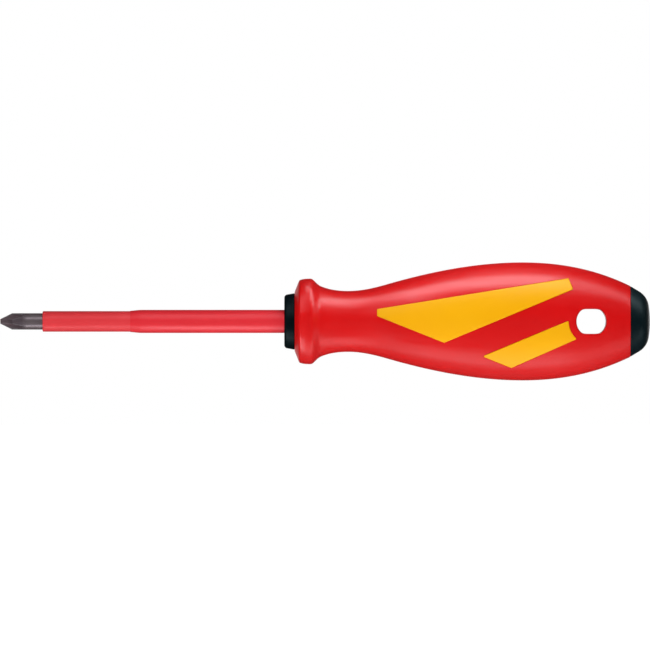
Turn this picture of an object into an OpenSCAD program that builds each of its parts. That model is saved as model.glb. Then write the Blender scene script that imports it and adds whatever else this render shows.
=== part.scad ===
// Insulated screwdriver with a cross tip, an insulated blade and a three-colour moulded handle.
// Millimetres. The tool lies along X with its tip towards -X, +Z is up, and the hanging hole runs along Y.
// The origin is on the axis, at the front face of the collar.

/* [Blade] */
// Free length of the blade, from the tip to the front face of the collar
blade_len = 80; // [60:1:125]
// Diameter of the round bar
bar_d = 4.6; // [3.8:0.1:5.6]
// Diameter of the blunt point
point_d = 1.27; // [1:0.01:1.6]
// Angle of the point's cone, from the axis
point_angle = 26.5; // [24:0.5:30]
// Distance from the tip at which the flutes run out
flute_len = 6.9; // [5:0.1:9]
// Angle between the two sides of a flute
flute_angle = 92; // [88:1:96]
// Distance from the axis to the bottom of a flute, at the tip
flute_core = 0.58; // [0.4:0.02:0.8]
// Length of bar inside the handle, behind the front face of the collar
tang_len = 62; // [54:1:68]

/* [Wings of the tang] */
// Width across a pair of wings
wing_span = 7; // [6:0.1:8]
// Thickness of the wings
wing_t = 1.8; // [1:0.1:3]
// Length of a pair of wings
wing_len = 9; // [6:0.5:12]
// Length of the slope at either end of a wing
wing_slope = 2; // [1:0.1:3]
// Distance from the rear end of the bar to the first pair of wings
wing_setback = 6; // [3:0.5:10]
// Distance between the first and the second pair
wing_pitch = 16; // [13:0.5:20]

/* [Insulation] */
// Length of bare steel at the tip
bare_len = 11.9; // [8:0.1:18]
// Wall of the inner layer
inner_wall = 0.6; // [0.4:0.05:1]
// Wall of the outer layer
outer_wall = 0.35; // [0.25:0.05:1]
// Length of the inner layer that shows in front of the outer one
slim_len = 24.7; // [15:0.1:35]
// Length of the outer layer's front ramp
ramp_len = 2.7; // [1.5:0.1:4]
// Step at the front edge of the ramp
ramp_step = 0.08; // [0.05:0.01:0.2]
// Rounding of the inner layer's front edge
sleeve_edge = 0.3; // [0.1:0.05:0.35]
// Depth in the collar at which the outer layer has widened into its anchor
anchor_flare = 1; // [0.5:0.1:1.6]
// Diameter of the anchor
anchor_d = 9; // [8.6:0.1:9.6]
// Depth of the anchor's rear end behind the front face of the collar
anchor_end = 14; // [10:0.5:18]
// Depth of the inner layer's rear end behind the front face of the collar
inner_end = 24; // [20:0.5:30]

/* [Collar] */
// Length of the collar that shows
collar_len = 2.9; // [2.4:0.1:4]
// Diameter of the collar at its front face
collar_front_d = 14.9; // [14:0.1:16]
// Diameter of the collar against the grip
collar_rear_d = 15.9; // [15:0.1:17]
// Rounding of the collar's front edge
collar_edge = 0.8; // [0.2:0.1:1]
// Depth of the collar's spigot in the grip
spigot_len = 4; // [3:0.1:5]
// Diameter of the spigot
spigot_d = 11.4; // [11:0.1:12]
// Diameter of the barb at the spigot's end
barb_d = 13; // [12.4:0.1:13.6]
// Length of the barb
barb_len = 1.4; // [0.8:0.1:2]

/* [Grip] */
// Diameter of the grip against the collar
nose_d = 16.6; // [16:0.1:18]
// Largest diameter of the flange
flange_d = 24; // [20:0.1:30]
// Length of the flange's steep front face
flange_face = 1.5; // [1:0.1:3]
// Distance from the front of the grip to the flange's crest
flange_crest = 3.5; // [3:0.1:5]
// Distance from the front of the grip to the flange's rear edge
flange_w = 5.3; // [4.6:0.1:8]
// Fall of the flange from its crest to its two edges
flange_crown = 0.35; // [0.1:0.05:0.6]
// Distance from the flange's rear edge to the foot of its rear face
foot_run = 2.1; // [1:0.1:4]
// Height of that foot over the waist
foot_rise = 1.35; // [0.8:0.05:2]
// Distance from the front of the grip to the waist
waist_pos = 15.2; // [12:0.1:20]
// Diameter of the waist
waist_d = 17.1; // [16:0.1:21]
// Length from the waist to the middle of the bulge
swell_len = 49; // [40:0.5:60]
// Diameter of the bulge
bulge_d = 33.2; // [27:0.2:40]
// Length from the middle of the bulge to the end cap
tail_len = 30.4; // [26:0.2:38]
// Slope of the grip where it meets the end cap
tail_slope = 0.49; // [0.3:0.01:0.7]
// Wall of the grip over the core
grip_wall = 3; // [2.4:0.1:3.2]

/* [Core ribs] */
// Number of ribs that lock the core in the grip
rib_count = 4; // [3:1:8]
// Width of a rib
rib_w = 2.4; // [1.5:0.1:4]
// Height of a rib
rib_h = 1; // [0.5:0.1:1.2]

/* [End cap] */
// Diameter of the end cap where it meets the grip
cap_d = 19.9; // [18:0.1:23]
// Length of the end cap that shows
cap_len = 5.5; // [4.5:0.1:8]
// Slope of the cap's tapered side
cap_slope = 0.6; // [0.4:0.01:0.8]
// Rounding between the side and the rear end
cap_round = 5.6; // [4:0.1:6.8]
// Crown of the rear end
cap_crown = 0.3; // [0.1:0.05:0.6]
// Depth of the cap's plug in the core
plug_len = 4.4; // [3.6:0.1:5]
// Diameter of the plug
plug_d = 9; // [7:0.1:9.6]
// Height of the snap bead round the plug
bead_h = 0.4; // [0.2:0.05:0.6]
// Length of the snap bead
bead_len = 1.2; // [0.8:0.1:1.6]

/* [Hanging hole] */
// Distance from the end cap to the middle of the hole
hole_setback = 11.1; // [10.6:0.1:14]
// Diameter of the hole's round walls
hole_d = 8.4; // [7:0.1:10]
// Distance between the hole's two flats
hole_flats = 7; // [6:0.1:7.5]
// Wall of grip material that lines the hole where it crosses the core
hole_lining = 1.6; // [1:0.1:1.8]
// Width of the red rim between the hole and the panels
hole_rim = 2.2; // [1.5:0.1:3]

/* [Panels] */
// Distance from the waist to the front panel's tip
panel_tip_gap = 8; // [5:0.1:12]
// Height of the tip's middle over the axis
panel_tip_z = 2.5; // [1:0.1:4]
// Height of the blunt tip
panel_tip_h = 2; // [1.4:0.1:3]
// Least distance from a panel to the outline of the handle, seen from the side
panel_edge_gap = 3.4; // [2.5:0.1:5]
// Distance from the bulge's middle forward to the rear panel's lowest corner
panel_low = 3.2; // [0:0.1:8]
// Slope of the panels' lower front edges
chevron_angle = 21.8; // [16:0.2:28]
// Angle by which the rear panel goes round the hole, below the axis
panel_wrap = 51; // [40:1:60]
// Slope of the red band between the panels
band_angle = 22.5; // [18:0.5:28]
// Width of the band
band_w = 7.6; // [6:0.1:9]
// Distance from the hole forward to where the middle of the band crosses the axis
band_setback = 16.9; // [15:0.1:20]
// Rounding of the panels' corners
panel_corner = 0.3; // [0.2:0.1:1]
// Depth of the panels in the grip
panel_depth = 1.2; // [0.8:0.1:1.5]
// Height of the panels over the grip
panel_proud = 0.2; // [0.05:0.05:0.4]

/* [Fits] */
// Gap between pieces that are moulded on each other
mould_gap = 0; // [0:0.01:0.05]

/* [Hidden] */
$fn = 96;
eps = 0.01;
far = 40;
corner_steps = 4;
waist_steps = 5;
swell_steps = 12;
tail_steps = 10;

// Places along the axis
tip_x = -blade_len;
sleeve_x = tip_x + bare_len;
outer_x = sleeve_x + slim_len;
ramp_x = outer_x + ramp_len;
grip_x = collar_len;
core_x = grip_x + spigot_len;
waist_x = grip_x + waist_pos;
bulge_x = waist_x + swell_len;
cap_x = bulge_x + tail_len;
end_x = cap_x + cap_len;
hole_x = cap_x - hole_setback;

// Radii
bar_r = bar_d / 2;
point_r = point_d / 2;
inner_r = bar_r + inner_wall;
outer_r = inner_r + outer_wall;
waist_r = waist_d / 2;
bulge_r = bulge_d / 2;
flange_r = flange_d / 2;
cap_r = cap_d / 2;
rim_r = hole_d / 2 + hole_rim;

// Stations of the handle's side: place, radius and slope
corner_st = [grip_x + flange_face, flange_r - flange_crown, 0.3];
crest_st = [grip_x + flange_crest, flange_r, 0];
edge_st = [grip_x + flange_w, flange_r - flange_crown, -0.9];
foot_st = [grip_x + flange_w + foot_run, waist_r + foot_rise, -0.42];
waist_st = [waist_x, waist_r, 0];
bulge_st = [bulge_x, bulge_r, 0];
tail_st = [cap_x, cap_r, -tail_slope];

// The swelling is steepest near the waist, where about a quarter of it is reached
rise_st = [
    waist_x + 0.222 * swell_len,
    waist_r + 0.237 * (bulge_r - waist_r),
    1.76 * (bulge_r - waist_r) / swell_len
];

// Radius at share t of the smooth curve from station a to station b
function blend(a, b, t) =
    let (run = b[0] - a[0])
    a[1] * (2 * pow(t, 3) - 3 * pow(t, 2) + 1)
    + a[2] * run * (pow(t, 3) - 2 * pow(t, 2) + t)
    + b[1] * (3 * pow(t, 2) - 2 * pow(t, 3))
    + b[2] * run * (pow(t, 3) - pow(t, 2));

// Points [x, radius] of the curve from a to b, without its last one
function span(a, b, steps) = [
    for (i = [0 : steps - 1])
        [a[0] + (b[0] - a[0]) * i / steps, blend(a, b, i / steps)]
];

// Radius of the grip at a place behind the waist
function grip_r(x) =
    x < rise_st[0] ? blend(waist_st, rise_st, (x - waist_st[0]) / (rise_st[0] - waist_st[0])) :
    x < bulge_x ? blend(rise_st, bulge_st, (x - rise_st[0]) / (bulge_x - rise_st[0])) :
    blend(bulge_st, tail_st, (x - bulge_x) / tail_len);

// Side of the handle from the foot of the flange to the end cap, which the core follows too
body_side = concat(
    span(foot_st, waist_st, waist_steps),
    span(waist_st, rise_st, waist_steps),
    span(rise_st, bulge_st, swell_steps),
    span(bulge_st, tail_st, tail_steps),
    [[cap_x, cap_r]]
);
flange_side = concat(
    [[grip_x, nose_d / 2], [corner_st[0] - 0.3, corner_st[1] - 0.5]],
    span(corner_st, crest_st, 4),
    span(crest_st, edge_st, 4),
    span(edge_st, foot_st, 5)
);

// Turned solid from points [x, radius]
module turned(points) {
    rotate([0, 90, 0])
        rotate_extrude()
            polygon([for (p = points) [p[1], p[0]]]);
}

// Round bar along the axis
module rod(x0, x1, r) {
    translate([x0, 0, 0])
        rotate([0, 90, 0])
            cylinder(h = x1 - x0, r = r);
}

// Points of the rounded edge between a front face at x and a side of radius r
function front_edge(x, r, edge) = [
    for (i = [0 : corner_steps])
        let (a = 90 * i / corner_steps)
        [x + edge * (1 - cos(a)), r - edge * (1 - sin(a))]
];

// Outline of straight edges with every corner rounded
function rounded(points, r) = [
    for (i = [0 : len(points) - 1])
        let (
            n = len(points),
            p = points[i],
            before = points[(i + n - 1) % n] - p,
            after = points[(i + 1) % n] - p,
            u = before / norm(before),
            v = after / norm(after),
            half = acos(u * v) / 2,
            centre = p + (u + v) / norm(u + v) * r / sin(half),
            first = p + u * r / tan(half) - centre,
            last = p + v * r / tan(half) - centre
        )
        for (k = [0 : corner_steps])
            let (m = first + (last - first) * k / corner_steps)
            centre + m / norm(m) * r
];

// Point where the line through a at slope s meets the line through b at slope t
function crossing(a, s, b, t) =
    let (x = (b[1] - a[1] + s * a[0] - t * b[0]) / (s - t))
    [x, a[1] + s * (x - a[0])];

// Blade

// Grinding wheel that leaves one flute: its rim runs out on the bar's surface
module flute_wheel() {
    lift = bar_r - flute_core;
    wheel_r = (pow(flute_len, 2) + pow(lift, 2)) / (2 * lift);
    side = 2 * bar_r;
    drop = side / tan(flute_angle / 2);
    translate([tip_x, 0, flute_core + wheel_r])
        rotate([90, 0, 0])
            rotate_extrude()
                polygon([
                    [0, -side],
                    [wheel_r - drop, -side],
                    [wheel_r, 0],
                    [wheel_r - drop, side],
                    [0, side]
                ]);
}

// One pair of wings that were pressed out of the bar
module wing_pair(x) {
    translate([x, wing_t / 2, 0])
        rotate([90, 0, 0])
            linear_extrude(wing_t)
                polygon([
                    [0, -bar_r / 2],
                    [wing_slope, -wing_span / 2],
                    [wing_len - wing_slope, -wing_span / 2],
                    [wing_len, -bar_r / 2],
                    [wing_len, bar_r / 2],
                    [wing_len - wing_slope, wing_span / 2],
                    [wing_slope, wing_span / 2],
                    [0, bar_r / 2]
                ]);
}

module wings() {
    for (i = [0 : 1])
        wing_pair(tang_len - wing_setback - wing_len - i * wing_pitch);
}

module blade() {
    cone_len = (bar_r - point_r) / tan(point_angle);
    color("dimgray")
        union() {
            difference() {
                turned([
                    [tip_x, 0],
                    [tip_x, point_r],
                    [tip_x + cone_len, bar_r],
                    [tang_len, bar_r],
                    [tang_len, 0]
                ]);
                for (i = [0 : 3])
                    rotate([45 + 90 * i, 0, 0])
                        flute_wheel();
            }
            wings();
        }
}

// Insulation

module inner_insulation() {
    color("tomato")
        difference() {
            turned(concat(
                [[sleeve_x, 0]],
                front_edge(sleeve_x, inner_r, sleeve_edge),
                [[inner_end, inner_r], [inner_end, 0]]
            ));
            rod(sleeve_x - 1, inner_end + 1, bar_r + mould_gap);
        }
}

// Outer layer as a full solid, grown by a gap inside the collar and the core
module outer_solid(gap) {
    turned([
        [outer_x, 0],
        [outer_x, inner_r + ramp_step],
        [ramp_x, outer_r],
        [0, outer_r],
        [0, outer_r + gap],
        [anchor_flare, anchor_d / 2 + gap],
        [anchor_end + gap, anchor_d / 2 + gap],
        [anchor_end + gap, 0]
    ]);
}

module outer_insulation() {
    color("orangered")
        difference() {
            outer_solid(0);
            rod(outer_x - 1, anchor_end + 1, inner_r + mould_gap);
        }
}

// Collar

// Barbed spigot of the collar, grown by a gap
module collar_spigot(gap) {
    rod(grip_x - eps, core_x, spigot_d / 2 + gap);
    rod(core_x - barb_len - gap, core_x, barb_d / 2 + gap);
}

module front_collar() {
    color("#202428")
        difference() {
            union() {
                turned(concat(
                    [[0, 0]],
                    front_edge(0, collar_front_d / 2, collar_edge),
                    [[grip_x, collar_rear_d / 2], [grip_x, 0]]
                ));
                collar_spigot(0);
            }
            outer_solid(mould_gap);
        }
}

// Handle

// Full solid of the handle in front of the end cap, with its side moved outwards by grow
module handle_solid(grow) {
    turned(concat(
        [[grip_x, 0]],
        [for (p = concat(flange_side, body_side)) p + [0, grow]],
        [[cap_x, 0]]
    ));
}

// Core as a full solid with its ribs, without the bore that the hole's lining fills
module core_solid(gap) {
    inset = gap - grip_wall;
    difference() {
        union() {
            turned(concat(
                [[core_x - gap, 0], [core_x - gap, foot_st[1] + inset]],
                [for (p = body_side) p + [0, inset]],
                [[cap_x, 0]]
            ));
            intersection() {
                turned(concat(
                    [[waist_x, 0]],
                    [for (p = body_side) if (p[0] >= waist_x) p + [0, inset + rib_h]],
                    [[cap_x, 0]]
                ));
                for (i = [0 : rib_count - 1])
                    rotate([45 + 360 / rib_count * i, 0, 0])
                        translate([waist_x, -rib_w / 2 - gap, 0])
                            cube([cap_x - waist_x, rib_w + 2 * gap, far]);
            }
        }
        translate([hole_x, far, 0])
            rotate([90, 0, 0])
                cylinder(h = 2 * far, r = hole_d / 2 + hole_lining - gap);
    }
}

// Plug of the end cap with its snap bead, grown by a gap
module cap_plug(gap) {
    rod(cap_x - plug_len - gap, cap_x + eps, plug_d / 2 + gap);
    turned([
        [cap_x - plug_len + bead_len / 4, 0],
        [cap_x - plug_len + bead_len / 4, plug_d / 2 + gap],
        [cap_x - plug_len + bead_len * 3 / 4, plug_d / 2 + bead_h + gap],
        [cap_x - plug_len + bead_len * 5 / 4, plug_d / 2 + gap],
        [cap_x - plug_len + bead_len * 5 / 4, 0]
    ]);
}

module handle_core() {
    color("slategray")
        difference() {
            core_solid(0);
            rod(0, tang_len + mould_gap, bar_r + mould_gap);
            wings();
            rod(0, inner_end + mould_gap, inner_r + mould_gap);
            outer_solid(mould_gap);
            cap_plug(mould_gap);
        }
}

// Hanging hole: a round hole with two flats
module hanging_hole() {
    intersection() {
        translate([hole_x, far, 0])
            rotate([90, 0, 0])
                cylinder(h = 2 * far, d = hole_d);
        translate([hole_x - far, -far, -hole_flats / 2])
            cube([2 * far, 2 * far, hole_flats]);
    }
}

module grip_shell() {
    color("firebrick")
        difference() {
            handle_solid(0);
            core_solid(mould_gap);
            collar_spigot(mould_gap);
            hanging_hole();
            for (side = [0, 180])
                rotate([side, 0, 0]) {
                    panel_block(front_outline);
                    rear_block();
                }
        }
}

module end_cap() {
    first = atan(cap_slope);
    last = 86;
    round_x = end_x - cap_crown - cap_round * (sin(last) - sin(first));
    round_r = cap_r - cap_slope * (round_x - cap_x);
    color("#202428")
        union() {
            turned(concat(
                [[cap_x, 0], [cap_x, cap_r]],
                [
                    for (i = [0 : 2 * corner_steps])
                        let (a = first + (last - first) * i / (2 * corner_steps))
                        [
                            round_x + cap_round * (sin(a) - sin(first)),
                            round_r - cap_round * (cos(first) - cos(a))
                        ]
                ],
                [[end_x, 0]]
            ));
            cap_plug(0);
        }
}

// Panels

// Slopes of the edges, and the two edges of the band where they cross the axis
band_slope = tan(band_angle);
chevron_slope = -tan(chevron_angle);
band_half = band_w / 2 / sin(band_angle);
band_upper = [hole_x - band_setback - band_half, 0];
band_lower = [hole_x - band_setback + band_half, 0];

// Front panel, seen from the near side: blunt tip, upper edge to the rear, end square to the band
tip_at = [waist_x + panel_tip_gap, panel_tip_z];
rear_top = [hole_x - rim_r, grip_r(hole_x - rim_r) - panel_edge_gap];
front_outline = rounded([
    tip_at + [0, panel_tip_h / 2],
    tip_at - [0, panel_tip_h / 2],
    crossing(tip_at - [0, panel_tip_h / 2], chevron_slope, band_upper, band_slope),
    crossing(rear_top, -1 / band_slope, band_upper, band_slope),
    rear_top
], panel_corner);

// Rear panel: the band's lower edge, a lowest corner, and an end that the hole's rim cuts round
low_at = [bulge_x - panel_low, panel_edge_gap - grip_r(bulge_x - panel_low)];
wrap_at = [hole_x - rim_r * cos(panel_wrap), -rim_r * sin(panel_wrap)];
inside_rim = [hole_x - rim_r / 2, band_slope * (hole_x - rim_r / 2 - band_lower[0])];
rear_outline = rounded([
    crossing(low_at, chevron_slope, band_lower, band_slope),
    low_at,
    wrap_at + (wrap_at - low_at) / norm(wrap_at - low_at) * hole_rim,
    inside_rim
], panel_corner);

// Space over the bottom of a pocket, cut through the near side of the handle
module panel_block(outline) {
    difference() {
        rotate([90, 0, 0])
            linear_extrude(far)
                polygon(outline);
        handle_solid(-panel_depth);
    }
}

// The same for the rear panel, kept clear of the hole's rim
module rear_block() {
    difference() {
        panel_block(rear_outline);
        translate([hole_x, 0, 0])
            rotate([90, 0, 0])
                cylinder(h = far + 1, r = rim_r);
    }
}

module front_panel() {
    intersection() {
        panel_block(front_outline);
        handle_solid(panel_proud);
    }
}

module rear_panel() {
    intersection() {
        rear_block();
        handle_solid(panel_proud);
    }
}

module panel_front_near() {
    color("gold")
        front_panel();
}

module panel_rear_near() {
    color("gold")
        rear_panel();
}

module panel_front_far() {
    color("gold")
        rotate([180, 0, 0])
            front_panel();
}

module panel_rear_far() {
    color("gold")
        rotate([180, 0, 0])
            rear_panel();
}

blade();
inner_insulation();
outer_insulation();
front_collar();
handle_core();
grip_shell();
end_cap();
panel_front_near();
panel_rear_near();
panel_front_far();
panel_rear_far();
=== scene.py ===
"""Looks of an insulated screwdriver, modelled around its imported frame.

The tool lies along X with its tip towards -X, +Z is up and the hanging hole runs along Y.
Every length is in metres, and sizes are written in millimetres times MM.
"""

import logging
import math
from collections.abc import Callable, Sequence
from dataclasses import dataclass, field, replace
from enum import Enum

import bmesh
import bpy
import numpy as np
from mathutils import Matrix, Vector
from mathutils.geometry import delaunay_2d_cdt


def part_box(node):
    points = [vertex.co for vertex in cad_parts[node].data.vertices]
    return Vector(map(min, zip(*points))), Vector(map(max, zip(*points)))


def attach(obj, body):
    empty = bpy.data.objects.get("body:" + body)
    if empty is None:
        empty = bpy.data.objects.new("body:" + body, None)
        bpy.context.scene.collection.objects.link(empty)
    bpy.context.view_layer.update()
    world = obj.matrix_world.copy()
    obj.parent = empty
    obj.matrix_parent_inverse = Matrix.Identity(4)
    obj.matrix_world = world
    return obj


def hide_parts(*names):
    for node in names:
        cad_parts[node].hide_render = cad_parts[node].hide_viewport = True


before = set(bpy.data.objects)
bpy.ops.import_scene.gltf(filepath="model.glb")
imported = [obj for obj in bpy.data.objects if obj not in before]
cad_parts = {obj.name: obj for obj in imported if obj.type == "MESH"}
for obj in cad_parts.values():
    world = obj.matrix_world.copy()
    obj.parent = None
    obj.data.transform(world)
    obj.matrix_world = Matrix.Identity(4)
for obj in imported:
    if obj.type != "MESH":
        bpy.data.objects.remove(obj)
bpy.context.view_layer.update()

MM = 0.001
TINY = 1e-6
HALVINGS = 45
BODY = "root"
LOG = logging.getLogger("screwdriver")

Pair = tuple[float, float]
Triple = tuple[float, float, float]
Tones = tuple[Triple, Triple]
Socket = bpy.types.NodeSocket

WHITE = (1.0, 1.0, 1.0)


class Shine(Enum):
    """What a lamp adds to, the surfaces' own colour or their reflections, and its tint."""

    COLOUR = (True, False, WHITE)
    GLOSS = (False, True, (0.75, 1.0, 1.07))
    BARE_GLOSS = (False, True, WHITE)


class Slot(Enum):
    """Material slots of the record."""

    STEEL = "steel"
    INSULATION = "insulation"
    BLACK = "black_plastic"
    RED = "red_grip"
    YELLOW = "yellow_panel"


class Side(Enum):
    """The two sides of the handle, each with its factor for Y and Z of a near point."""

    NEAR = 1.0
    FAR = -1.0

    @property
    def label(self) -> str:
        """The side's name, as pieces and nodes have it."""
        return self.name.lower()

    def turned(self, places: np.ndarray) -> np.ndarray:
        """Gives near points turned about the tool's axis onto this side."""
        return places * [1.0, self.value, self.value]


# Curves


def unit(step: np.ndarray) -> np.ndarray:
    """Gives a step's direction, with length 1."""
    return step / np.linalg.norm(step)


def cosine(a: np.ndarray, b: np.ndarray) -> float:
    """Gives the cosine of the angle between two steps."""
    return float(np.clip(a @ b / (np.linalg.norm(a) * np.linalg.norm(b)), -1.0, 1.0))


def crossing(a: np.ndarray, s: float, b: np.ndarray, t: float) -> np.ndarray:
    """Gives where the line through a at slope s meets the line through b at slope t."""
    x = (b[1] - a[1] + s * a[0] - t * b[0]) / (s - t)
    return np.array([x, a[1] + s * (x - a[0])])


def lengths_along(run: np.ndarray) -> np.ndarray:
    """Gives each point's distance from the first one, measured along a run of points."""
    return np.concatenate([[0.0], np.cumsum(np.linalg.norm(np.diff(run, axis=0), axis=1))])


def halved(
    low: np.ndarray | float, high: np.ndarray | float, holds: Callable[[np.ndarray], np.ndarray]
) -> np.ndarray:
    """Narrows ranges down to where a test stops holding.

    Args:
        low: values at which the test holds.
        high: values at which it doesn't.
        holds: the test.

    Returns:
        The last values at which it holds.
    """
    for _ in range(HALVINGS):
        middle = (low + high) / 2
        held = holds(middle)
        low, high = np.where(held, middle, low), np.where(held, high, middle)
    return low


def rounded(first: np.ndarray, corner: np.ndarray, last: np.ndarray, steps: int) -> np.ndarray:
    """Gives the points of an arc that leaves and arrives along the edges of a corner.

    Args:
        first: where the arc starts.
        corner: the corner that it rounds.
        last: where the arc ends.
        steps: number of steps along it.

    Returns:
        The points, with both ends.
    """
    pull = math.sqrt((1 - cosine(first - corner, last - corner)) / 2)
    t = np.linspace(0.0, 1.0, steps + 1)[:, None]
    ends, middle = (1 - t) ** 2 + t**2, 2 * pull * t * (1 - t)
    return ((1 - t) ** 2 * first + middle * corner + t**2 * last) / (ends + middle)


def walk(run: np.ndarray, cuts: Pair, spacing: float) -> np.ndarray:
    """Gives evenly spaced points along a run of points, shortened at both ends.

    Args:
        run: the points of the run.
        cuts: lengths taken off its start and its end.
        spacing: largest distance between two points.

    Returns:
        The points, at least two of them.
    """
    at = lengths_along(run)
    steps = max(1, math.ceil((at[-1] - sum(cuts)) / spacing))
    wanted = np.linspace(cuts[0], at[-1] - cuts[1], steps + 1)
    return np.column_stack([np.interp(wanted, at, run[:, i]) for i in range(run.shape[1])])


def soften(points: list[Pair], cuts: list[float], steps: int) -> np.ndarray:
    """Rounds the inner corners of an open run of points.

    Args:
        points: the corners.
        cuts: length that each corner is cut back, 0 for a sharp one.
        steps: number of steps round a corner.

    Returns:
        The points of the rounded run.
    """
    corners = np.array(points, float)
    made = [corners[:1]]
    for i in range(1, len(corners) - 1):
        first, last = (corners[i] + unit(corners[j] - corners[i]) * cuts[i] for j in (i - 1, i + 1))
        made.append(rounded(first, corners[i], last, steps) if cuts[i] else corners[i:i + 1])
    return np.concatenate([*made, corners[-1:]])


def inside(places: np.ndarray, polygon: np.ndarray) -> np.ndarray:
    """Tells which points lie in a polygon.

    Args:
        places: points, one per row.
        polygon: corners of the polygon.

    Returns:
        True for each point that lies inside.
    """
    x, y = places[:, :1], places[:, 1:2]
    x0, y0 = polygon[:, 0], polygon[:, 1]
    x1, y1 = np.roll(x0, -1), np.roll(y0, -1)
    spans = (y0 <= y) != (y1 <= y)
    rise = np.where(y1 == y0, 1.0, y1 - y0)
    left = x < x0 + (y - y0) * (x1 - x0) / rise
    return (spans & left).sum(1) % 2 == 1


@dataclass(frozen=True)
class Station:
    """A place on the handle's side, with its radius and the slope of the side there."""

    x: float
    r: float
    slope: float

    @property
    def point(self) -> np.ndarray:
        """The station as a point (x, r)."""
        return np.array([self.x, self.r])

    def curve_to(self, other: "Station", steps: int) -> np.ndarray:
        """Gives the smooth curve to another station.

        Args:
            other: the station where the curve ends.
            steps: number of steps along it.

        Returns:
            Points (x, r) without the last one.
        """
        t = np.arange(steps) / steps
        run = other.x - self.x
        r = (
            self.r * (2 * t**3 - 3 * t**2 + 1)
            + self.slope * run * (t**3 - 2 * t**2 + t)
            + other.r * (3 * t**2 - 2 * t**3)
            + other.slope * run * (t**3 - t**2)
        )
        return np.column_stack([self.x + run * t, r])


class Outline:
    """A closed outline in the side view, as points (x, z) that run anticlockwise."""

    CORNER_STEPS = 6

    def __init__(self, places: np.ndarray) -> None:
        """Keeps the points, in reverse if they run clockwise.

        Args:
            places: points (x, z), one per row.
        """
        x, z = places.T
        area = np.sum(x * np.roll(z, -1) - np.roll(x, -1) * z)
        self.places = places if area > 0 else places[::-1]

    @classmethod
    def joined(cls, runs: list[np.ndarray], radius: float, spacing: float) -> "Outline":
        """Joins runs of points end to end, with every corner between them rounded.

        Args:
            runs: the runs, each starting where the one before it ends.
            radius: radius of the corners.
            spacing: largest distance between two points.

        Returns:
            The outline.
        """
        cuts = []
        for run, following in zip(runs, runs[1:] + runs[:1]):
            bend = math.acos(cosine(run[-2] - run[-1], following[1] - following[0]))
            cuts.append(radius / math.tan(bend / 2))
        bodies = [walk(run, (cuts[i - 1], cuts[i]), spacing) for i, run in enumerate(runs)]
        made = []
        for run, body, following in zip(runs, bodies, bodies[1:] + bodies[:1]):
            turn = rounded(body[-1], run[-1], following[0], cls.CORNER_STEPS)
            made += [body, turn[1:-1]]
        return cls(np.concatenate(made))

    def moved(self, reach: float) -> np.ndarray:
        """Moves the outline.

        Args:
            reach: how far it moves outwards, or inwards where this is negative.

        Returns:
            The moved points.
        """
        along = np.roll(self.places, -1, 0) - np.roll(self.places, 1, 0)
        out = np.column_stack([along[:, 1], -along[:, 0]])
        return self.places + reach * out / np.linalg.norm(out, axis=1, keepdims=True)

    def holds(self, places: np.ndarray) -> np.ndarray:
        """Tells which points of the side view lie inside."""
        return inside(places, self.places)

    def distance(self, places: np.ndarray) -> np.ndarray:
        """Gives each point's distance to the nearest edge.

        Args:
            places: points (x, z), one per row.

        Returns:
            The distances.
        """
        least = np.full(len(places), np.inf)
        for a, e in zip(self.places, np.roll(self.places, -1, 0) - self.places):
            share = np.clip(((places - a) @ e) / (e @ e), 0, 1)[:, None]
            least = np.minimum(least, np.linalg.norm(places - a - share * e, axis=1))
        return least


# Meshes


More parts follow.
